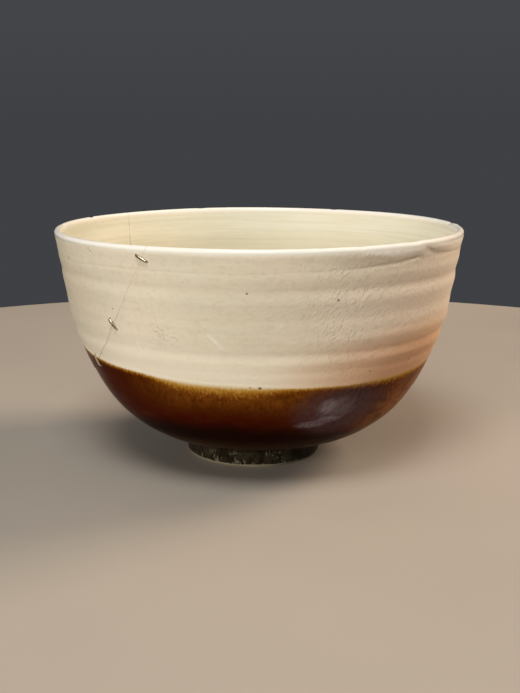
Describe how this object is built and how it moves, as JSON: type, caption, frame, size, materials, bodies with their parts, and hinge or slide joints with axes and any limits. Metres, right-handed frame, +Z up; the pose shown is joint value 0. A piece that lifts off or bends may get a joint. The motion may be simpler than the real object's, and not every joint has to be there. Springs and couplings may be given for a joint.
{
  "type": "matcha bowl",
  "caption": "Deep hemispherical tea bowl with a thin rounded lip on a small low foot ring, its wall repaired with a reset sherd, a lacquered seam and bent wire staples.",
  "frame": {"origin": "on the surface the bowl stands on, directly below the centre of the rim", "axes": "+Z up out of the mouth; -Y towards the side the bowl is shown from; +X to that viewer's right, so the reset sherd is on the -X side"},
  "size_m": [0.1254, 0.1254, 0.0722],
  "materials": {
    "glazed_stoneware": "gloss",
    "seam_lacquer": "matte",
    "bronze_wire": "satin"
  },
  "bodies": {
    "root": {"bowl_body": "glazed_stoneware", "stapled_sherd": "glazed_stoneware", "seam_lacquer": "seam_lacquer", "staple_front_upper": "bronze_wire", "staple_front_middle": "bronze_wire", "staple_front_lower": "bronze_wire", "staple_back_lower": "bronze_wire", "staple_back_middle": "bronze_wire", "staple_back_upper": "bronze_wire"}
  },
  "joints": []
}
